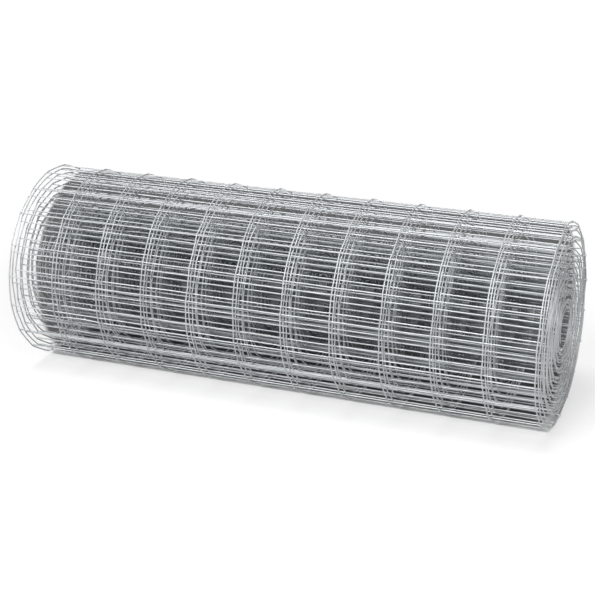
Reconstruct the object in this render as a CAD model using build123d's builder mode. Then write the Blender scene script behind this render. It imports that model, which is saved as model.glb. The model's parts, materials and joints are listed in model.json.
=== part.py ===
from build123d import *
from math import cos, pi, radians, sin
import os

# A ten metre roll of welded wire fencing, lying on its side.
#
# Line wires run around the roll, and cross wires run along it. The strip is wound with its line wires
# outside, so one layer is as thick as two wires. The roll is one solid: the open mesh between the bore and
# the outermost layer is closed up, and at both ends the gap between the turns is cut in, so that the wound
# strip stands out there. Its outline is the strip's own spiral, with the step of the loose end along it.
# The strip was wound a little askew at the last, so the outer turns lie further left than the inner ones.
#
# Sizes are in millimetres. X runs along the roll, Y points towards the side of the loose end, Z is up.

# The strip
strip_length = 10000
line_wire_count = 12
line_wire_spacing = 75
cross_wire_overhang = 2.5  # from the outer line wires' centres to the cross wires' cut ends
wire_diameter = 2.0

# The winding
bends_per_turn = 34  # the strip is stiff, so each turn is a row of short straight stretches
bend_count = 608  # in the whole strip, which makes just under eighteen turns
bore_radius = 21.5  # the round way that stays clear through the middle
bore_margin = 1.0  # from the bore's wall out to the strip's inner end
loose_end_angle = -11  # from the horizontal, upwards positive
outer_turn_count = 3  # the turns that lie further left
outer_turn_shift = 8  # how far they do
end_relief = 12  # how deep the gap between the outer turns is open at the right end

strip_width = (line_wire_count - 1) * line_wire_spacing + 2 * cross_wire_overhang
roll_length = strip_width + outer_turn_shift
relief_depth = end_relief + outer_turn_shift
layer_thickness = 2 * wire_diameter

# The reach is the distance from the axis to the middle of the layer. It falls by the same step at each bend,
# and the outer end's reach is the one at which all the stretches add up to the strip's length.
bend_angle = 2 * pi / bends_per_turn
inner_end_reach = bore_radius + bore_margin + layer_thickness / 2
outer_end_reach = strip_length / (bend_count * sin(bend_angle / 2)) - inner_end_reach
reach_step = (outer_end_reach - inner_end_reach) / bend_count


def bends(first, last, from_middle):
    """Points of one face of the layer from bend first to bend last, both counted from the loose end.

    from_middle is the face's distance from the middle of the layer, outwards positive. The loose end is at
    angle 0 of the sketch, and the strip runs inwards anticlockwise.
    """
    points = []
    for index in range(first, last + 1):
        reach = outer_end_reach - index * reach_step + from_middle
        points.append((reach * cos(index * bend_angle), reach * sin(index * bend_angle)))
    return points


def outline_inside(turns):
    """Outline of the roll without its outermost turns: one turn of the layer's outer face and the step."""
    first = turns * bends_per_turn
    with BuildSketch() as outline:
        with BuildLine():
            Polyline(*bends(first, first + bends_per_turn, layer_thickness / 2), close=True)
        make_face()
    return outline.sketch


whole_outline = outline_inside(0)
inner_outline = outline_inside(outer_turn_count)

# The free space: the middle of the roll and the gap that runs out from it between the turns.
with BuildSketch() as free_space:
    with BuildLine():
        gap_outside = bends(0, bend_count, -layer_thickness / 2)
        gap_inside = bends(bends_per_turn, bend_count, layer_thickness / 2)
        Polyline(*gap_outside, *reversed(gap_inside), close=True)
    make_face()

# The roll rests on its lowest stretch, with its middle over the origin.
loose_end_direction = (0, cos(radians(loose_end_angle)), sin(radians(loose_end_angle)))
through_axis = Plane((0, 0, 0), x_dir=loose_end_direction, z_dir=(1, 0, 0))
outline_box = (through_axis * whole_outline).bounding_box()
axis_position = (0, -outline_box.center().Y, -outline_box.min.Z)
middle = Plane(axis_position, x_dir=loose_end_direction, z_dir=(1, 0, 0))
left_end = middle.offset(-roll_length / 2)
right_end = middle.offset(roll_length / 2)

with BuildPart() as fencing_roll:
    with BuildSketch(left_end):
        add(whole_outline)
        Circle(bore_radius, mode=Mode.SUBTRACT)
    extrude(amount=roll_length)
    # The inner turns lie back at the left end.
    with BuildSketch(left_end):
        add(inner_outline)
    extrude(amount=outer_turn_shift, mode=Mode.SUBTRACT)
    # The outer turns lie back at the right end.
    with BuildSketch(right_end):
        add(whole_outline)
        add(inner_outline, mode=Mode.SUBTRACT)
    extrude(amount=-outer_turn_shift, mode=Mode.SUBTRACT)
    # The gap between the turns is open at both ends.
    with BuildSketch(left_end):
        add(free_space.sketch)
    extrude(amount=relief_depth, mode=Mode.SUBTRACT)
    with BuildSketch(right_end):
        add(free_space.sketch)
    extrude(amount=-relief_depth, mode=Mode.SUBTRACT)

fencing_roll.part.label = "fencing_roll"

print(f"turn pitch {reach_step * bends_per_turn:.3f}, outer end reach {outer_end_reach:.3f}")
print(f"axis at y {axis_position[1]:.4f}, z {axis_position[2]:.4f}")
print(f"bore wall length {roll_length - 2 * relief_depth:.1f}, solids {len(fencing_roll.part.solids())}")

os.makedirs("parts", exist_ok=True)
export_step(fencing_roll.part, "parts/fencing_roll.step")
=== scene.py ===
"""A ten metre roll of galvanised welded wire fencing, lying on its side in a white studio.

The strip of mesh is wound loosely with its line wires outside. Twelve line wires run the length of
the strip, so they circle the roll, and two hundred cross wires run along the roll from end to end.
Both kinds pass through the same welds, which stray a little from their proper places, as on a roll
that was wound by machine, dropped and handled.

Lengths are in metres. X runs along the roll, Y points away from the camera's side, Z is up. Angles
round the roll are seen from its right end and count anticlockwise from the horizontal at the back.
The strip is followed from its loose end inwards, by the angle or number of turns that it sweeps.
"""

import json
import logging
import math
import random
from dataclasses import dataclass, field
from enum import Enum

import bmesh
import bpy
from mathutils import Matrix, Vector, noise


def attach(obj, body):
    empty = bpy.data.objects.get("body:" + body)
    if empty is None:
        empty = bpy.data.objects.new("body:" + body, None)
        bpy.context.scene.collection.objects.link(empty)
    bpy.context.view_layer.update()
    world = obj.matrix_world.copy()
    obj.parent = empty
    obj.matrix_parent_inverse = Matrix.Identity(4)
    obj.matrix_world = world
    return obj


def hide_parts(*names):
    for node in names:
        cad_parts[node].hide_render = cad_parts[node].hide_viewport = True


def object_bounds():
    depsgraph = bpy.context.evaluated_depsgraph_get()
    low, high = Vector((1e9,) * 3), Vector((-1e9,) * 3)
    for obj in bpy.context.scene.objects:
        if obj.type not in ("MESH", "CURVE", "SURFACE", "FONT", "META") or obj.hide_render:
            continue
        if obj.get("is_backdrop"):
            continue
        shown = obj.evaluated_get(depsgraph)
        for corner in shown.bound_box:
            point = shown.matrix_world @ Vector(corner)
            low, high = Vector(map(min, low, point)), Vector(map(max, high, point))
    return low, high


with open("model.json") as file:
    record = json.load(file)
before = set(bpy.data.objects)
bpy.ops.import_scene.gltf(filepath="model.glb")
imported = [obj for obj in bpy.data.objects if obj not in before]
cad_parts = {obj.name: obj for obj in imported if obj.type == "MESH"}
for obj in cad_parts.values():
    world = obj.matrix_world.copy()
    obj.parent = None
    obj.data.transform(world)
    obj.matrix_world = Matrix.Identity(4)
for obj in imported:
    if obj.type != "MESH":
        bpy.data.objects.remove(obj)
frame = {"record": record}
cad_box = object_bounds()

NODE = "fencing_roll"
BODY = "root"
MM = 0.001

# A Mix node has a set of sockets of the same names for each kind of value, so they go by number.
FACTOR, FLOAT_A, FLOAT_B, COLOUR_A, COLOUR_B = 0, 2, 3, 6, 7
FLOAT_RESULT, COLOUR_RESULT = 0, 2

log = logging.getLogger("fencing_roll")


def linear(hex_colour: str) -> tuple[float, float, float, float]:
    """Turn an sRGB hex colour into the linear one that shaders take.

    Args:
        hex_colour: A colour such as "#C0C4C8".

    Returns:
        Red, green, blue and an alpha of 1.
    """
    parts = [int(hex_colour[place:place + 2], 16) / 255 for place in (1, 3, 5)]
    red, green, blue = [
        part / 12.92 if part <= 0.04045 else ((part + 0.055) / 1.055) ** 2.4 for part in parts
    ]
    return (red, green, blue, 1.0)


def limited(value: float, low: float, high: float) -> float:
    """Keep a value between a lowest and a highest one."""
    return max(low, min(high, value))


def crest(share: float) -> float:
    """Rise from 0 at the start of a stretch to 1 in its middle, and fall to 0 at its end."""
    return 4 * share * (1 - share)


def empty_tree(owner: bpy.types.Material | bpy.types.World) -> bpy.types.NodeTree:
    """Give a material or a world a node tree without nodes.

    Args:
        owner: The material or world.

    Returns:
        Its node tree.
    """
    owner.use_nodes = True
    owner.node_tree.nodes.clear()
    return owner.node_tree


def add_node(
    tree: bpy.types.NodeTree,
    kind: str,
    settings: dict[str, object] | None = None,
    inputs: dict[str | int, object] | None = None,
) -> bpy.types.Node:
    """Add a node with its settings, and give each input a value or a link.

    Args:
        tree: The node tree that gets the node.
        kind: Blender's name of the node's type.
        settings: Properties of the node itself.
        inputs: For each input, by name or number, a plain value or the output socket that feeds it.

    Returns:
        The new node.
    """
    node = tree.nodes.new(kind)
    for name, value in (settings or {}).items():
        setattr(node, name, value)
    for name, value in (inputs or {}).items():
        if isinstance(value, bpy.types.NodeSocket):
            tree.links.new(value, node.inputs[name])
        else:
            node.inputs[name].default_value = value
    return node


class Attribute(Enum):
    """Values that each wire's mesh carries for its material."""

    TONE = "wire_tone"
    CUT = "cut_end"


class Stray(Enum):
    """Ways in which the mesh strays from its even shape, each with a slice of a noise field."""

    ALONG = 1.5
    FOLD = 3.5
    SIDEWAYS = 7.5
    WIRE_SIDEWAYS = 9.5

    def at(self, first: float, second: float) -> float:
        """Read the stray, from -1 to 1, at a place that is given in units of the stray's length."""
        return noise.noise(Vector((first, second, self.value)))


@dataclass(frozen=True)
class Pattern:
    """A cloudy pattern in a finish.

    Attributes:
        size: Usual size of its spots.
        detail: Number of finer layers over the coarsest.
        contrast: How strongly each finer layer shows.
    """

    size: float
    detail: float
    contrast: float


@dataclass(frozen=True)
class GalvanisedZinc:
    """Drawn steel wire, welded and then dipped in molten zinc.

    To the eye it is light grey and satin rather than bright. The zinc lies in patches, some fresh
    and pale, some weathered to a duller blue grey, over a fine unevenness that breaks up the
    highlights. Its matt skin makes it only partly a metal. Deep in the roll, away from its ends,
    it is darkened as painted shade where little light reaches, and the cut ends show grey steel.

    Attributes:
        axis_y: The roll's axis, across the roll.
        axis_z: Its height.
        name: The material's name.
        tones: Weathered, usual and fresh zinc, each with its place from 0 for dull to 1 for fresh.
        painted_shade: Painted shade: the zinc's colour deep in the roll, where little light
            reaches.
        cut: Colour of the cut ends.
        painted_shade_reach: From the axis to where the painted shade starts to fade.
        unshaded_reach: From the axis to where the painted shade is gone and the zinc has its own
            tones.
        painted_shade_side: From the roll's middle to where painted shade starts to fade towards an
            end.
        unshaded_side: From the roll's middle to where the painted shade is gone there.
        patches: The patches of fresh and weathered zinc.
        grain: The fine unevenness. The real one, some tenths of a millimetre, is too fine to show
            in the render, so it is drawn coarser.
        grain_range: Lowest and highest usual values of the grain.
        tone_share: How much a wire's own shade counts beside the patches.
        metallic: How much of a metal the surface is.
        roughness: Roughness of the smoothest and the roughest places.
        bump_strength: How strongly the grain turns the light.
        bump_height: Height of the grain.
    """

    axis_y: float
    axis_z: float
    name: str = "hot_dip_galvanised_wire"
    tones: tuple[tuple[float, str], ...] = ((0.22, "#C4C8CC"), (0.5, "#DCDFE1"), (0.8, "#EAECEE"))
    # Painted shade: the zinc deep in the roll is drawn in this darker colour, where little light
    # reaches.
    painted_shade: str = "#6E7479"
    cut: str = "#6C6F71"
    painted_shade_reach: float = 60 * MM
    unshaded_reach: float = 138 * MM
    painted_shade_side: float = 396 * MM
    unshaded_side: float = 415 * MM
    patches: Pattern = Pattern(14 * MM, 3.0, 0.6)
    grain: Pattern = Pattern(1.1 * MM, 2.0, 0.5)
    grain_range: tuple[float, float] = (0.3, 0.7)
    tone_share: float = 0.55
    metallic: float = 0.35
    roughness: tuple[float, float] = (0.38, 0.56)
    bump_strength: float = 0.5
    bump_height: float = 0.06 * MM

    def material(self) -> bpy.types.Material:
        """Make the node material.

        Returns:
            The material, which reads Object coordinates and the wires' own attributes.
        """
        made = bpy.data.materials.new(self.name)
        tree = empty_tree(made)
        place = add_node(tree, "ShaderNodeTexCoord").outputs["Object"]
        patches, grain = [
            add_node(
                tree,
                "ShaderNodeTexNoise",
                inputs={
                    "Vector": place,
                    "Scale": 1 / pattern.size,
                    "Detail": pattern.detail,
                    "Roughness": pattern.contrast,
                },
            ).outputs["Fac"]
            for pattern in (self.patches, self.grain)
        ]
        tone, cut = [
            add_node(tree, "ShaderNodeAttribute", {"attribute_name": carried.value}).outputs["Fac"]
            for carried in (Attribute.TONE, Attribute.CUT)
        ]
        shade = add_node(
            tree,
            "ShaderNodeMix",
            {"data_type": "FLOAT"},
            {FACTOR: self.tone_share, FLOAT_A: patches, FLOAT_B: tone},
        ).outputs[FLOAT_RESULT]
        zinc = add_node(tree, "ShaderNodeValToRGB", inputs={"Fac": shade})
        stops = zinc.color_ramp.elements
        stops.new(1.0)
        for stop, (freshness, colour) in zip(stops, self.tones):
            stop.position = freshness
            stop.color = linear(colour)
        # Painted shade: the zinc is mixed towards the darker colour deep in the roll and towards
        # its middle.
        skin = add_node(
            tree,
            "ShaderNodeMix",
            {"data_type": "RGBA"},
            {
                FACTOR: self.unshaded_share(tree, place),
                COLOUR_A: linear(self.painted_shade),
                COLOUR_B: zinc.outputs["Color"],
            },
        ).outputs[COLOUR_RESULT]
        colour = add_node(
            tree,
            "ShaderNodeMix",
            {"data_type": "RGBA"},
            {FACTOR: cut, COLOUR_A: skin, COLOUR_B: linear(self.cut)},
        ).outputs[COLOUR_RESULT]
        roughness = add_node(
            tree,
            "ShaderNodeMapRange",
            inputs={
                "Value": grain,
                "From Min": self.grain_range[0],
                "From Max": self.grain_range[1],
                "To Min": self.roughness[0],
                "To Max": self.roughness[1],
            },
        ).outputs["Result"]
        bump = add_node(
            tree,
            "ShaderNodeBump",
            inputs={"Strength": self.bump_strength, "Distance": self.bump_height, "Height": grain},
        ).outputs["Normal"]
        surface = add_node(
            tree,
            "ShaderNodeBsdfPrincipled",
            inputs={
                "Base Color": colour,
                "Metallic": self.metallic,
                "Roughness": roughness,
                "Normal": bump,
            },
        ).outputs["BSDF"]
        add_node(tree, "ShaderNodeOutputMaterial", inputs={"Surface": surface})
        return made

    def unshaded_share(
        self, tree: bpy.types.NodeTree, place: bpy.types.NodeSocket
    ) -> bpy.types.NodeSocket:
        """Tell how far a place in the roll lies out of the painted shade.

        Args:
            tree: The node tree that asks.
            place: The place.

        Returns:
            A socket that is 0 deep in the roll, and 1 on its outer turns and at both ends.
        """
        across, along = (0.0, 1.0, 1.0), (1.0, 0.0, 0.0)
        axis, middle = (0.0, self.axis_y, self.axis_z), (0.0, 0.0, 0.0)
        shares = []
        for directions, start, painted_shade, unshaded in (
            (across, axis, self.painted_shade_reach, self.unshaded_reach),
            (along, middle, self.painted_shade_side, self.unshaded_side),
        ):
            flattened = add_node(
                tree, "ShaderNodeVectorMath", {"operation": "MULTIPLY"}, {0: place, 1: directions}
            ).outputs["Vector"]
            distance = add_node(
                tree, "ShaderNodeVectorMath", {"operation": "DISTANCE"}, {0: flattened, 1: start}
            ).outputs["Value"]
            share = add_node(
                tree,
                "ShaderNodeMapRange",
                {"interpolation_type": "SMOOTHSTEP"},
                {"Value": distance, "From Min": painted_shade, "From Max": unshaded},
            ).outputs["Result"]
            shares.append(share)
        return add_node(
            tree, "ShaderNodeMath", {"operation": "MAXIMUM"}, {0: shares[0], 1: shares[1]}
        ).outputs["Value"]


@dataclass(frozen=True)
class FloorPaint:
    """Matt white floor paint, rolled on, with a grey sheet of painted shadow lying on it.

    To the eye the floor is one even white without a shine, with a faint shadow of the roll. The
    grey sheet is painted shadow. It lies only where the roll hides the floor from the camera,
    so it shows through the mesh alone and darkens the inside of the roll as shade would.

    Attributes:
        name: The material's name.
        white: Colour of the paint.
        painted_shadow: Colour of the painted shadow, a grey sheet where the roll hides the floor.
        bounce: Colour of the light that the floor and the painted shadow throw back at the roll.
        glow: How much of the floor's white is its own light, without shadow.
        painted_shadow_fade: How far in from its edge the painted shadow takes to become full.
        outline_fade: How far in from the roll's outline its own light ends.
    """

    name: str = "matt_white_floor_paint"
    white: str = "#FFFFFF"
    # Painted shadow: a grey sheet where the roll hides the floor, darkening what shows through the
    # mesh.
    painted_shadow: str = "#646464"
    bounce: str = "#585858"
    glow: float = 0.6
    painted_shadow_fade: float = 16 * MM
    outline_fade: float = 2 * MM

    def material(self, painted_shadow: list[Vector], outline: list[Vector]) -> bpy.types.Material:
        """Make the node material.

        Args:
            painted_shadow: Corners of the painted shadow, anticlockwise from above.
            outline: Corners of all the floor that the roll hides, in the same order.

        Returns:
            The material, which reads Object coordinates and the kind of ray.
        """
        made = bpy.data.materials.new(self.name)
        tree = empty_tree(made)
        place = add_node(tree, "ShaderNodeTexCoord").outputs["Object"]
        on_painted_shadow = self.inside(tree, place, painted_shadow, self.painted_shadow_fade)
        hidden = self.inside(tree, place, outline, self.outline_fade)
        seen = self.seen(tree)
        # The painted shadow turns the floor grey where it shows only through the roll.
        colour = add_node(
            tree,
            "ShaderNodeMix",
            {"data_type": "RGBA"},
            {FACTOR: on_painted_shadow, COLOUR_A: linear(self.white), COLOUR_B: linear(self.painted_shadow)},
        ).outputs[COLOUR_RESULT]
        shown = add_node(
            tree,
            "ShaderNodeMix",
            {"data_type": "RGBA"},
            {FACTOR: seen, COLOUR_A: linear(self.bounce), COLOUR_B: colour},
        ).outputs[COLOUR_RESULT]
        painted = add_node(tree, "ShaderNodeBsdfDiffuse", inputs={"Color": shown}).outputs["BSDF"]
        glowing = add_node(
            tree, "ShaderNodeEmission", inputs={"Color": colour, "Strength": 1.0}
        ).outputs["Emission"]
        glow = add_node(
            tree,
            "ShaderNodeMapRange",
            inputs={"Value": hidden, "To Min": self.glow, "To Max": 0.0},
        ).outputs["Result"]
        share = add_node(
            tree, "ShaderNodeMath", {"operation": "MULTIPLY"}, {0: seen, 1: glow}
        ).outputs["Value"]
        surface = add_node(
            tree, "ShaderNodeMixShader", inputs={0: share, 1: painted, 2: glowing}
        ).outputs["Shader"]
        add_node(tree, "ShaderNodeOutputMaterial", inputs={"Surface": surface})
        return made

    def inside(
        self,
        tree: bpy.types.NodeTree,
        place: bpy.types.NodeSocket,
        corners: list[Vector],
        fade: float,
    ) -> bpy.types.NodeSocket:
        """Tell whether a place on the floor lies in a patch.

        Args:
            tree: The node tree that asks.
            place: The place.
            corners: The patch's corners, anticlockwise from above.
            fade: How far in from its edge the patch takes to become full.

        Returns:
            A socket that is 0 outside the patch and 1 well inside it.
        """
        full: bpy.types.NodeSocket | float = 1.0
        for corner, following in zip(corners, corners[1:] + corners[:1]):
            along = (following - corner).normalized()
            inwards = Vector((-along.y, along.x, 0.0))
            depth = add_node(
                tree, "ShaderNodeVectorMath", {"operation": "DOT_PRODUCT"}, {0: place, 1: inwards}
            ).outputs["Value"]
            edge = inwards.dot(corner)
            past_edge = add_node(
                tree,
                "ShaderNodeMapRange",
                {"interpolation_type": "SMOOTHSTEP"},
                {"Value": depth, "From Min": edge, "From Max": edge + fade},
            ).outputs["Result"]
            full = add_node(
                tree, "ShaderNodeMath", {"operation": "MULTIPLY"}, {0: full, 1: past_edge}
            ).outputs["Value"]
        return full

    def seen(self, tree: bpy.types.NodeTree) -> bpy.types.NodeSocket:
        """Tell the rays that show the floor, directly or in metal, from those that light the roll.

        Args:
            tree: The node tree that asks.

        Returns:
            A socket that is 1 for camera, glossy and transmission rays, and 0 for the rest.
        """
        rays = add_node(tree, "ShaderNodeLightPath").outputs
        seen = rays["Is Camera Ray"]
        for kind in ("Is Glossy Ray", "Is Transmission Ray"):
            seen = add_node(
                tree, "ShaderNodeMath", {"operation": "MAXIMUM"}, {0: seen, 1: rays[kind]}
            ).outputs["Value"]
        return seen


@dataclass(frozen=True)
class Winding:
    """The even spiral of the middle of the strip's layer.

    Attributes:
        axis_y: The axis' place across the roll.
        axis_z: The axis' height.
        loose_end_angle: Where the strip's outer end lies, in degrees.
        outer_reach: From the axis to the middle of the layer at the loose end.
        pitch: From one turn to the next.
    """

    axis_y: float
    axis_z: float
    loose_end_angle: float
    outer_reach: float
    pitch: float

    def reach(self, swept: float) -> float:
        """Give the distance from the axis to the middle of the layer, after an angle in radians."""
        return self.outer_reach - self.pitch * swept / math.tau

    def outwards(self, swept: float) -> Vector:
        """Give the unit direction from the axis to the strip, after an angle in radians."""
        angle = math.radians(self.loose_end_angle) + swept
        return Vector((0.0, math.cos(angle), math.sin(angle)))

    def point(self, swept: float, reach: float, across: float) -> Vector:
        """Place a point by its angle, its distance from the axis and its place along the roll."""
        return Vector((across, self.axis_y, self.axis_z)) + self.outwards(swept) * reach

    def advance(self, swept: float, reach: float, length: float, straight_reach: float) -> float:
        """Follow the strip inwards by one straight or bent stretch.

        Args:
            swept: The angle swept before the stretch.
            reach: From the axis to the stretch.
            length: The stretch's length.
            straight_reach: From the axis to the turns where stretches stop being straight.

        Returns:
            The angle swept after it.
        """
        if reach > straight_reach:
            return swept + 2 * math.asin(length / (2 * reach))
        return swept + length / (reach - self.pitch * length / (2 * math.tau * reach))


@dataclass(frozen=True)
class Course:
    """A length in millimetres that changes along the strip.

    Attributes:
        stops: Number of turns from the loose end and length there, in rising order of turns.
    """

    stops: tuple[tuple[float, float], ...]

    def at(self, turns: float) -> float:
        """Read the length, going smoothly from one stop to the next.

        Args:
            turns: Number of turns from the loose end.

        Returns:
            The length there, in millimetres.
        """
        for (start, low), (end, high) in zip(self.stops, self.stops[1:]):
            if turns < end:
                share = max(0.0, (turns - start) / (end - start))
                return low + (high - low) * share * share * (3 - 2 * share)
        return self.stops[-1][1]


@dataclass(frozen=True)
class Weld:
    """A crossing of a cross wire and a line wire on the roll, or a place between two.

    Attributes:
        swept: Angle from the loose end inwards, in radians.
        reach: From the axis to the middle of the layer.
        across: Place along the roll.
    """

    swept: float
    reach: float
    across: float

    def towards(self, other: "Weld", share: float) -> "Weld":
        """Go a share of the way to another crossing.

        Args:
            other: The other crossing.
            share: How much of the way, from 0 to 1.

        Returns:
            The place there.
        """
        return Weld(
            self.swept + (other.swept - self.swept) * share,
            self.reach + (other.reach - self.reach) * share,
            self.across + (other.across - self.across) * share,
        )


@dataclass
class Strip:
    """The mesh of the strip, and where each of its welds lies on the finished roll.

    The strip was wound loosely and then handled. Its layers touch in some places and gape in
    others. Over its last three turns it drifted sideways, so their line wires lie side by side.

    Attributes:
        winding: The even spiral that it strays from.
        wire_radius: Radius of the wires.
        line_count: Number of line wires.
        line_spacing: From one line wire to the next.
        cross_count: Number of cross wires.
        cross_pitch: From one cross wire to the next.
        press: How far each wire sinks into the middle of the layer at a weld.
        outer_cross_degrees: Angles of the outermost cross wires, as in the photograph.
        inner_tail: Line wire left over past the last cross wire.
        straight_reach: From the axis to the turns where the stretches between welds are straight.
        overhang: Cross wire that stands out past the outer line wires.
        settle: How far the layer lies outside the even spiral.
        sag: How far it may sag inwards from there.
        drift: How far it lies to the right of the middle.
        weave: How far every other turn lies to the left of its neighbours.
        woven_turn: A turn that the weave sets furthest to the left.
        pairing: How far every other turn lies outwards and the rest inwards, two lying close.
        paired_turn: A turn that the pairing sets furthest out.
        uneven: How much more than the usual pitch the cross wires stand apart.
        run_jitter: How far that varies from one cross wire to the next.
        run_stray: How far a weld lies off its cross wire's line.
        line_step: How differently neighbouring line wires do so.
        cross_step: How differently neighbouring cross wires do so.
        side_stray: How far the mesh and each line wire lie to one side at most.
        side_gain: How soon they reach that.
        wire_share: How much each line wire strays by itself beside the mesh.
        wire_step: How differently neighbouring line wires do so.
        stray_length: Length along the strip over which the stray to the side changes.
        fold_length: Length of a sagging place along the strip.
        fold_width: Its length along the roll.
        fold_gain: How soon it sags fully.
        between: A place off the whole numbers, where the noise would be nought.
        floor_facing: How steeply down the strip has to face for it to rest on the floor.
        seed: Seed of the spacing of the cross wires.
        swept: Angle of each cross wire, from the loose end inwards.
        welds: For each cross wire, its welds from left to right.
    """

    winding: Winding
    wire_radius: float
    line_count: int = 12
    line_spacing: float = 75 * MM
    cross_count: int = 200
    cross_pitch: float = 50 * MM
    press: float = 0.1 * MM
    outer_cross_degrees: tuple[float, ...] = (
        1.4, 20.4, 39.5, 58.6, 77.9, 97.2, 115.9, 134.6, 154.4, 173.1, 191.8, 211.0, 231.0, 250.3,
        269.6,
    )
    inner_tail: float = 17 * MM
    straight_reach: float = 70 * MM
    overhang: float = 2.3 * MM
    settle: Course = Course(
        (
            (0, -0.9), (0.12, 0.4), (0.55, 0.6), (1, 2.0), (1.5, 3.0), (2.5, 4.2), (6.5, -1.3),
            (12, -1.3), (18, 0.5),
        )
    )
    sag: Course = Course(((0, 0.2), (1, 0.5), (2, 1.0), (4, 2.8), (16, 2.8), (18, 0.8)))
    drift: Course = Course(
        ((0, -3.1), (0.5, -3.0), (1.5, 0.0), (2.5, 2.3), (3.5, 3.0), (18, 2.6))
    )
    weave: Course = Course(((0, 0.0), (3, 0.0), (4, 0.7), (18, 0.7)))
    woven_turn: float = 4.5
    pairing: Course = Course(((0, 0.0), (2, 0.0), (3.5, 1.2), (16, 1.2), (18, 0.4)))
    paired_turn: float = 0.5
    uneven: Course = Course(
        (
            (0.8, -0.75), (1.35, -1.26), (1.9, -1.80), (2.45, -1.55), (3.0, -1.28), (3.55, -0.71),
            (4.1, 0.31), (4.65, 0.03), (5.2, -0.08), (5.75, -1.80), (6.3, -0.39), (7.2, -0.97),
            (18, -1.68),
        )
    )
    run_jitter: float = 0.5 * MM
    run_stray: float = 0.8 * MM
    line_step: float = 0.31
    cross_step: float = 3.7
    side_stray: float = 0.9 * MM
    side_gain: float = 1.5
    wire_share: float = 0.7
    wire_step: float = 4.9
    stray_length: float = 35 * MM
    fold_length: float = 85 * MM
    fold_width: float = 380 * MM
    fold_gain: float = 1.9
    between: float = 0.5
    floor_facing: float = 0.9
    seed: int = 41
    swept: list[float] = field(init=False)
    welds: list[list[Weld]] = field(init=False)

    def __post_init__(self) -> None:
        """Lay the cross wires one after another, then place each weld."""
        draw = random.Random(self.seed)
        self.swept = [
            math.radians(degrees - self.winding.loose_end_angle)
            for degrees in self.outer_cross_degrees
        ]
        while len(self.swept) < self.cross_count:
            length = self.cross_pitch + self.uneven.at(self.swept[-1] / math.tau) * MM
            self.swept.append(self.advance(length + draw.uniform(-1, 1) * self.run_jitter))
        self.welds = [
            [self.weld(cross, line) for line in range(self.line_count)]
            for cross in range(self.cross_count)
        ]
        log.info("the strip makes %.2f turns", self.inner_end() / math.tau)

    def advance(self, length: float) -> float:
        """Follow the strip inwards from the last cross wire that was laid.

        Args:
            length: Length along the strip.

        Returns:
            The angle swept after it.
        """
        last = self.swept[-1]
        reach = self.place(last, self.line_count // 2).reach
        return self.winding.advance(last, reach, length, self.straight_reach)

    def inner_end(self) -> float:
        """Give the angle swept from the loose end to the inner end."""
        return self.advance(self.inner_tail)

    def lift(self) -> float:
        """Give the distance from the middle of the layer to the centres of either kind of wire."""
        return self.wire_radius - self.press

    def weld(self, cross: int, line: int) -> Weld:
        """Work out where one weld lies.

        Args:
            cross: Number of the cross wire, from the loose end.
            line: Number of the line wire, from the roll's left end.

        Returns:
            The weld.
        """
        swept = self.swept[cross]
        along = self.run_stray * Stray.ALONG.at(line * self.line_step, cross * self.cross_step)
        return self.place(swept + along / self.winding.reach(swept), line)

    def place(self, swept: float, line: int) -> Weld:
        """Work out where one line wire crosses one angle of the strip.

        Args:
            swept: Angle from the loose end inwards.
            line: Number of the line wire, from the roll's left end.

        Returns:
            The crossing.
        """
        turns = swept / math.tau
        across = (line - (self.line_count - 1) / 2) * self.line_spacing
        run = swept * (self.winding.outer_reach + self.winding.reach(swept)) / 2

        fold = self.fold_gain * Stray.FOLD.at(run / self.fold_length, across / self.fold_width)
        sagged = self.sag.at(turns) * (0.5 + 0.5 * limited(fold, -1.0, 1.0))
        paired = self.pairing.at(turns) * math.cos(math.pi * (turns - self.paired_turn))
        reach = self.winding.reach(swept) + (self.settle.at(turns) + paired - sagged) * MM
        fall = -self.winding.outwards(swept).z
        if fall > self.floor_facing:
            resting = self.winding.axis_z / fall - 2 * self.wire_radius + self.press
            reach = min(reach, resting)

        changes = run / self.stray_length
        shift = Stray.SIDEWAYS.at(changes, self.between)
        shift += self.wire_share * Stray.WIRE_SIDEWAYS.at(changes, line * self.wire_step)
        across += self.side_stray * limited(self.side_gain * shift, -1.0, 1.0)
        woven = 0.5 + 0.5 * math.cos(math.pi * (turns - self.woven_turn))
        aside = self.drift.at(turns) - self.weave.at(turns) * woven
        return Weld(swept, reach, across + aside * MM)


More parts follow.
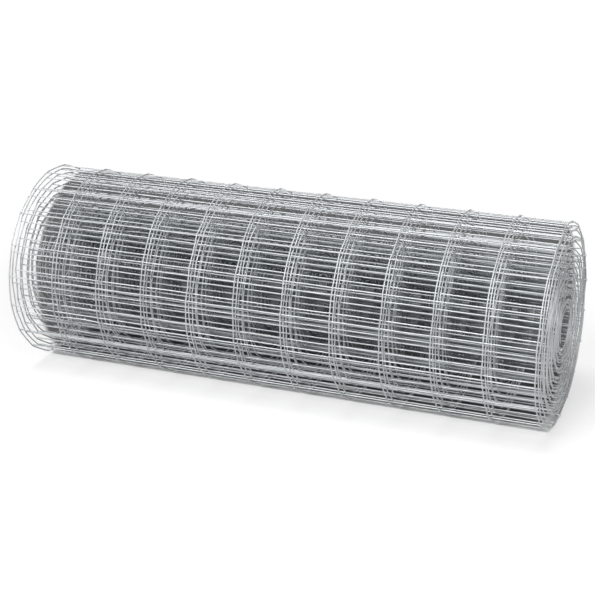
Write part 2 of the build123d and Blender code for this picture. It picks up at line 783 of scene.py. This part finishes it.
@dataclass
class WireShop:
    """Draws wires of one thickness and joins them into one mesh.

    Attributes:
        radius: Radius of the wire.
        sides: Sides of its section, an even number from 6 up.
        tip: Length of the burred tip at each cut end.
        tip_share: Radius of the cut face beside the wire's.
        merge_distance: How close corners of one wire are merged.
        joined: The mesh of all that was made so far.
    """

    radius: float
    sides: int = 8
    tip: float = 0.4 * MM
    tip_share: float = 0.72
    merge_distance: float = 0.001 * MM
    joined: bmesh.types.BMesh = field(default_factory=bmesh.new)

    def draw(self, places: list[Vector], tone: float) -> None:
        """Draw one wire through its places, and take it into the joined mesh.

        Args:
            places: Centres of the wire's sections, at least two, tips left out.
            tone: The wire's own shade, from 0 for dull to 1 for fresh.
        """
        first = places[0] + (places[0] - places[1]).normalized() * self.tip
        last = places[-1] + (places[-1] - places[-2]).normalized() * self.tip
        line = bpy.data.curves.new("drawn_wire", "CURVE")
        line.dimensions = "3D"
        line.bevel_depth = self.radius
        line.bevel_resolution = self.sides // 2 - 2
        line.use_fill_caps = True
        spline = line.splines.new("POLY")
        spline.points.add(len(places) + 1)
        for point, centre in zip(spline.points, [first, *places, last]):
            point.co = (*centre, 1.0)
        spline.points[0].radius = self.tip_share
        spline.points[-1].radius = self.tip_share
        holder = bpy.data.objects.new("drawn_wire", line)
        mesh = bpy.data.meshes.new_from_object(holder)
        wire = bmesh.new()
        wire.from_mesh(mesh)
        bmesh.ops.remove_doubles(wire, verts=wire.verts, dist=self.merge_distance)
        bpy.data.objects.remove(holder)
        bpy.data.curves.remove(line)
        bpy.data.meshes.remove(mesh)
        self.take(wire, tone)

    def take(self, shape: bmesh.types.BMesh, tone: float) -> None:
        """Mark a finished shape with its shade and its cut faces, and join it to the rest.

        Args:
            shape: The shape, which is freed. Its cut faces have a corner for each of the sides.
            tone: Its own shade, from 0 for dull to 1 for fresh.
        """
        tones = shape.verts.layers.float.new(Attribute.TONE.value)
        cuts = shape.verts.layers.float.new(Attribute.CUT.value)
        for corner in shape.verts:
            corner[tones] = tone
        for face in shape.faces:
            face.smooth = len(face.verts) < self.sides
            if not face.smooth:
                for corner in face.verts:
                    corner[cuts] = 1.0
        taken = bpy.data.meshes.new("taken")
        shape.to_mesh(taken)
        shape.free()
        self.joined.from_mesh(taken)
        bpy.data.meshes.remove(taken)

    def finish(self, name: str, material: bpy.types.Material) -> bpy.types.Object:
        """Turn the joined mesh into a piece of the roll.

        Args:
            name: The piece's name.
            material: Its finish.

        Returns:
            The object, at the origin, unturned and unscaled.
        """
        mesh = bpy.data.meshes.new(name)
        self.joined.to_mesh(mesh)
        self.joined.free()
        mesh.materials.append(material)
        piece = bpy.data.objects.new(name, mesh)
        bpy.context.scene.collection.objects.link(piece)
        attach(piece, BODY)
        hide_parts(NODE)
        mesh.calc_loop_triangles()
        log.info("%s: %d triangles", name, len(mesh.loop_triangles))
        return piece


@dataclass
class LineWires:
    """The twelve wires that run the strip's length and so circle the roll.

    Between two welds a wire runs nearly straight on the outer turns, so each ring has corners at
    the cross wires. Near the middle the wires are bent round evenly.

    Attributes:
        strip: The strip that they are part of.
        steps: Sections for each stretch between welds, at the least.
        step_degrees: The most that the wire turns from one section to the next.
        straightness: How straight an outer stretch is, from 0 for bent round to 1 for straight.
        round_share: Up to what share of the strip's straight reach the wires are bent round.
        side_bow: How far a stretch bows sideways at most.
        tones: Shades of the dullest and the freshest wire.
        seed: Seed of the bows and shades.
    """

    strip: Strip
    steps: int = 4
    step_degrees: float = 12.0
    straightness: float = 0.75
    round_share: float = 0.6
    side_bow: float = 1.0 * MM
    tones: tuple[float, float] = (0.25, 0.75)
    seed: int = 7

    def build(self, material: bpy.types.Material) -> bpy.types.Object:
        """Draw all the line wires.

        Args:
            material: Their finish.

        Returns:
            The piece.
        """
        shop = WireShop(self.strip.wire_radius)
        draw = random.Random(self.seed)
        for line in range(self.strip.line_count):
            shop.draw(self.path(line, draw), draw.uniform(*self.tones))
        return shop.finish("line_wires", material)

    def path(self, line: int, draw: random.Random) -> list[Vector]:
        """Trace one line wire from the loose end to the inner end.

        Args:
            line: Number of the line wire, from the roll's left end.
            draw: The source of the small bows between welds.

        Returns:
            The centres of its sections.
        """
        strip = self.strip
        lift = strip.lift()
        inner_end = strip.place(strip.inner_end(), line)
        stops = [strip.place(0.0, line), *(row[line] for row in strip.welds), inner_end]
        places = []
        for here, there in zip(stops, stops[1:]):
            turned = there.swept - here.swept
            dip = self.dip(here.reach, turned)
            bow = draw.uniform(-1, 1) * self.side_bow
            count = max(self.steps, math.ceil(math.degrees(turned) / self.step_degrees))
            for number in range(count):
                share = number / count
                place = here.towards(there, share)
                reach = place.reach + lift - dip * crest(share)
                across = place.across + bow * crest(share)
                places.append(strip.winding.point(place.swept, reach, across))
        reach = inner_end.reach + lift
        places.append(strip.winding.point(inner_end.swept, reach, inner_end.across))
        return places

    def dip(self, reach: float, turned: float) -> float:
        """Work out how far the middle of a stretch lies inside the round.

        Args:
            reach: From the axis to the stretch.
            turned: The angle that it spans, in radians.

        Returns:
            The depth, which is nothing for the turns near the middle.
        """
        outer_share = limited(reach / self.strip.straight_reach - self.round_share, 0.0, 1.0)
        return self.straightness * outer_share * reach * (1 - math.cos(turned / 2))


@dataclass
class CrossWires:
    """The two hundred straight wires that run along the roll, inside the line wires.

    Attributes:
        strip: The strip that they are part of.
        bow: How far a wire bows along the strip between two line wires.
        bent_share: Share of the spans that were bent in handling.
        bent_bow: How far such a span bows.
        bow_places: Places of its sections there, as shares of the span.
        trim: How unevenly the ends are cut.
        tones: Shades of the dullest and the freshest wire.
        seed: Seed of the bows, ends and shades.
    """

    strip: Strip
    bow: float = 0.5 * MM
    bent_share: float = 0.02
    bent_bow: float = 3.0 * MM
    bow_places: tuple[float, ...] = (0.25, 0.5, 0.75)
    trim: float = 0.15 * MM
    tones: tuple[float, float] = (0.2, 0.9)
    seed: int = 23

    def build(self, material: bpy.types.Material) -> bpy.types.Object:
        """Draw all the cross wires.

        Args:
            material: Their finish.

        Returns:
            The piece.
        """
        shop = WireShop(self.strip.wire_radius)
        draw = random.Random(self.seed)
        stub = self.strip.overhang - shop.tip
        for row in self.strip.welds:
            shop.draw(self.path(row, stub, draw), draw.uniform(*self.tones))
        return shop.finish("cross_wires", material)

    def path(self, row: list[Weld], stub: float, draw: random.Random) -> list[Vector]:
        """Trace one cross wire from the roll's left end to its right end.

        Args:
            row: Its welds.
            stub: From the outer welds to the burred tips.
            draw: The source of its bows.

        Returns:
            The centres of its sections.
        """
        winding = self.strip.winding
        lift = -self.strip.lift()
        first, last = row[0], row[-1]
        left_end = first.across - stub - draw.random() * self.trim
        right_end = last.across + stub + draw.random() * self.trim
        places = [winding.point(first.swept, first.reach + lift, left_end)]
        for here, there in zip(row, row[1:]):
            places.append(winding.point(here.swept, here.reach + lift, here.across))
            deepest = self.bent_bow if draw.random() < self.bent_share else self.bow
            bow = draw.uniform(-1, 1) * deepest
            for share in self.bow_places:
                place = here.towards(there, share)
                reach = place.reach + lift
                swept = place.swept + bow * crest(share) / reach
                places.append(winding.point(swept, reach, place.across))
        places.append(winding.point(last.swept, last.reach + lift, last.across))
        places.append(winding.point(last.swept, last.reach + lift, right_end))
        return places


@dataclass
class Welds:
    """The small pads of zinc that fill the corners where the wires cross.

    Attributes:
        strip: The strip that they are part of.
        spread: Half width of a pad, along both wires.
        spread_range: Smallest and largest width beside that.
        depth: Half height of a pad, through the layer.
        rim_steps: Corners round a pad.
        rise_steps: Faces from its foot to its top.
        tones: Shades of the dullest and the freshest row of pads.
        seed: Seed of the widths and shades.
    """

    strip: Strip
    spread: float = 1.5 * MM
    spread_range: tuple[float, float] = (0.85, 1.15)
    depth: float = 1.2 * MM
    rim_steps: int = 6
    rise_steps: int = 4
    tones: tuple[float, float] = (0.2, 0.7)
    seed: int = 5

    def build(self, material: bpy.types.Material) -> bpy.types.Object:
        """Make all the pads.

        Args:
            material: Their finish.

        Returns:
            The piece.
        """
        shop = WireShop(self.strip.wire_radius)
        draw = random.Random(self.seed)
        for row in self.strip.welds:
            pads = bmesh.new()
            for weld in row:
                spread = self.spread * draw.uniform(*self.spread_range)
                bmesh.ops.create_uvsphere(
                    pads,
                    u_segments=self.rim_steps,
                    v_segments=self.rise_steps,
                    radius=1.0,
                    matrix=self.pose(weld) @ Matrix.Diagonal((spread, spread, self.depth, 1.0)),
                )
            shop.take(pads, draw.uniform(*self.tones))
        return shop.finish("weld_pads", material)

    def pose(self, weld: Weld) -> Matrix:
        """Place and turn one pad.

        Args:
            weld: The crossing.

        Returns:
            A matrix whose Z axis points away from the roll's axis.
        """
        winding = self.strip.winding
        outwards = winding.outwards(weld.swept)
        turn = outwards.to_track_quat("Z", "Y").to_matrix().to_4x4()
        return Matrix.Translation(winding.point(weld.swept, weld.reach, weld.across)) @ turn


@dataclass
class FencingRoll:
    """The whole roll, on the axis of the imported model's bore.

    Attributes:
        strip_length: Length of the strip.
        stretch_count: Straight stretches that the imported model's spiral is drawn with.
        stretches_per_turn: How many of them make one turn.
        bore_margin: From the bore's wall out to the strip's inner end.
        wire_radius: Radius of the wire.
        loose_end_angle: Where the strip's outer end lies, in degrees.
    """

    strip_length: float = 10.0
    stretch_count: int = 608
    stretches_per_turn: int = 34
    bore_margin: float = 1.0 * MM
    wire_radius: float = 1.0 * MM
    loose_end_angle: float = -11.0

    def winding(self) -> Winding:
        """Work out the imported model's spiral.

        Returns:
            The winding, on the bore's axis.
        """
        bore = next(mount for mount in frame["record"]["mounts"] if mount["name"] == "bore")
        inner_reach = bore["dims"]["r_mm"] * MM + self.bore_margin + 2 * self.wire_radius
        turned = math.sin(math.pi / self.stretches_per_turn)
        outer_reach = self.strip_length / (self.stretch_count * turned) - inner_reach
        return Winding(
            axis_y=bore["pos_m"][1],
            axis_z=bore["pos_m"][2],
            loose_end_angle=self.loose_end_angle,
            outer_reach=outer_reach,
            pitch=(outer_reach - inner_reach) * self.stretches_per_turn / self.stretch_count,
        )

    def build(self) -> list[bpy.types.Object]:
        """Build and dress every piece.

        Returns:
            The pieces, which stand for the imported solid.
        """
        winding = self.winding()
        strip = Strip(winding, self.wire_radius)
        zinc = GalvanisedZinc(winding.axis_y, winding.axis_z).material()
        return [kind(strip).build(zinc) for kind in (LineWires, CrossWires, Welds)]


@dataclass(frozen=True)
class Lamp:
    """A soft lamp, so far away that it lights the roll and the whole floor alike.

    Attributes:
        name: Its name.
        azimuth: Its place round the roll in degrees, counted as the camera's is.
        elevation: Its height over the horizon, in degrees.
        strength: Its strength in watts per square metre.
        width: How wide it looks from the roll, in degrees.
    """

    name: str
    azimuth: float
    elevation: float
    strength: float
    width: float = 20.0


@dataclass
class Studio:
    """A white floor past the picture's edges, lamps in a dim room, and the camera.

    Attributes:
        azimuth: The camera's place round the roll in degrees, from straight in front towards the
            right end.
        elevation: Its height over the horizon, in degrees.
        distance: From the camera to what it looks at.
        aim: What the camera looks at, from the middle of the roll's axis.
        frame_share: Focal length beside the picture's width.
        sensor_mm: Width of the camera's sensor, in millimetres.
        sight_range: Nearest and furthest that the camera sees.
        floor_size: Length and width of the floor.
        paint: The floor's finish.
        left_rim: Place along the roll of the outer turn's left edge.
        right_rim: Place of its right edge.
        back_degrees: Points on the right rim that outline the roll for the camera, up the back.
        front_degrees: The same on the left rim, down the front.
        painted_shadow_end: Where the outline of the painted shadow has its left rim, short of the
            roll's, so that the floor shows white through the left end.
        painted_shadow_share: Size of the painted shadow's rims beside the roll's.
        room_light: Strength of the light that comes evenly from all round.
        lamps: The lamps.
    """

    azimuth: float = 21.93
    elevation: float = 19.93
    distance: float = 2.378
    aim: tuple[float, float, float] = (0.0015, 0.0, -0.0102)
    frame_share: float = 1552 / 595
    sensor_mm: float = 36.0
    sight_range: tuple[float, float] = (0.05, 100.0)
    floor_size: float = 60.0
    paint: FloorPaint = FloorPaint()
    left_rim: float = -417.9 * MM
    right_rim: float = 411.7 * MM
    back_degrees: range = range(250, 420, 20)
    front_degrees: range = range(90, 260, 20)
    painted_shadow_end: float = -384 * MM
    painted_shadow_share: float = 0.98
    room_light: float = 0.04
    lamps: tuple[Lamp, ...] = (
        Lamp("top_light", -15.0, 72.0, 1.85),
        Lamp("right_light", 50.0, 30.0, 1.1),
        Lamp("front_light", -20.0, 35.0, 1.4),
    )

    def build(self, winding: Winding) -> None:
        """Set the stage.

        Args:
            winding: The roll's spiral, for the place of its axis.
        """
        bpy.context.scene.view_settings.view_transform = "Standard"
        target = Vector((0.0, winding.axis_y, winding.axis_z)) + Vector(self.aim)
        camera_place = target + self.direction(self.azimuth, self.elevation) * self.distance
        self.floor(camera_place, winding)
        self.world()
        for lamp in self.lamps:
            self.light(lamp)
        self.camera(camera_place, target)

    def direction(self, azimuth: float, elevation: float) -> Vector:
        """Point from the roll to a place round it.

        Args:
            azimuth: The place in degrees, from straight in front towards the right end.
            elevation: Its height over the horizon, in degrees.

        Returns:
            The unit direction.
        """
        around, up = math.radians(azimuth), math.radians(elevation)
        level = math.cos(up)
        return Vector((math.sin(around) * level, -math.cos(around) * level, math.sin(up)))

    def hidden_floor(
        self, camera_place: Vector, winding: Winding, left_rim: float, rim_share: float
    ) -> list[Vector]:
        """Outline the floor that lies behind the roll for the camera.

        Args:
            camera_place: Where the camera stands.
            winding: The roll's spiral, for its axis and its outer reach.
            left_rim: The left rim's place along the roll.
            rim_share: Size of the rims, and how far apart they lie, beside the roll's.

        Returns:
            The outline's corners, anticlockwise from above.
        """
        top = 90.0 - self.elevation
        rims = [(self.right_rim, degrees) for degrees in (*self.back_degrees, top)]
        rims += [(left_rim, degrees) for degrees in (top, *self.front_degrees)]
        corners = []
        for along, degrees in rims:
            angle = math.radians(degrees)
            rim = Vector((rim_share * along, winding.axis_y, winding.axis_z))
            outwards = Vector((0.0, math.cos(angle), math.sin(angle)))
            rim += outwards * rim_share * winding.outer_reach
            sight = rim - camera_place
            corners.append(camera_place - sight * camera_place.z / sight.z)
        return corners

    def floor(self, camera_place: Vector, winding: Winding) -> None:
        """Lay the floor.

        Args:
            camera_place: Where the camera stands.
            winding: The roll's spiral.
        """
        # Painted shadow: the floor that the camera sees only through the roll is darkened like
        # shade.
        painted_shadow = self.hidden_floor(camera_place, winding, self.painted_shadow_end, self.painted_shadow_share)
        outline = self.hidden_floor(camera_place, winding, self.left_rim, 1.0)
        shape = bmesh.new()
        bmesh.ops.create_grid(shape, x_segments=1, y_segments=1, size=self.floor_size / 2)
        mesh = bpy.data.meshes.new("floor")
        shape.to_mesh(mesh)
        shape.free()
        mesh.materials.append(self.paint.material(painted_shadow, outline))
        floor = bpy.data.objects.new("floor", mesh)
        bpy.context.scene.collection.objects.link(floor)
        floor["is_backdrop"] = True

    def world(self) -> None:
        """Surround the roll with even, dim light."""
        room = bpy.data.worlds.new("dim_room")
        tree = empty_tree(room)
        light = add_node(
            tree,
            "ShaderNodeBackground",
            inputs={"Color": linear("#FFFFFF"), "Strength": self.room_light},
        ).outputs["Background"]
        add_node(tree, "ShaderNodeOutputWorld", inputs={"Surface": light})
        bpy.context.scene.world = room

    def light(self, lamp: Lamp) -> None:
        """Hang one lamp.

        Args:
            lamp: The lamp.
        """
        data = bpy.data.lights.new(lamp.name, "SUN")
        data.angle = math.radians(lamp.width)
        data.energy = lamp.strength
        hung = bpy.data.objects.new(lamp.name, data)
        shining = -self.direction(lamp.azimuth, lamp.elevation)
        hung.rotation_euler = shining.to_track_quat("-Z", "Y").to_euler()
        bpy.context.scene.collection.objects.link(hung)

    def camera(self, place: Vector, target: Vector) -> None:
        """Set the camera where the photograph's was.

        Args:
            place: Where it stands.
            target: What it looks at.
        """
        data = bpy.data.cameras.new("camera")
        data.sensor_width = self.sensor_mm
        data.lens = self.sensor_mm * self.frame_share
        data.clip_start, data.clip_end = self.sight_range
        camera = bpy.data.objects.new("camera", data)
        camera.location = place
        camera.rotation_euler = (target - place).to_track_quat("-Z", "Y").to_euler()
        bpy.context.scene.collection.objects.link(camera)
        bpy.context.scene.camera = camera


def write_sizes() -> None:
    """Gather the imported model's box and the finished roll's box as plain lists."""
    boxes = {"cad": cad_box, "visual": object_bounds()}
    plain = {name: [list(corner) for corner in box] for name, box in boxes.items()}


def main() -> None:
    """Build the roll, then the studio round it."""
    logging.basicConfig(level=logging.INFO, format="%(name)s: %(message)s")
    roll = FencingRoll()
    pieces = roll.build()
    Studio().build(roll.winding())
    log.info("built %s", ", ".join(piece.name for piece in pieces))
    write_sizes()


if __name__ == "__main__":
    main()
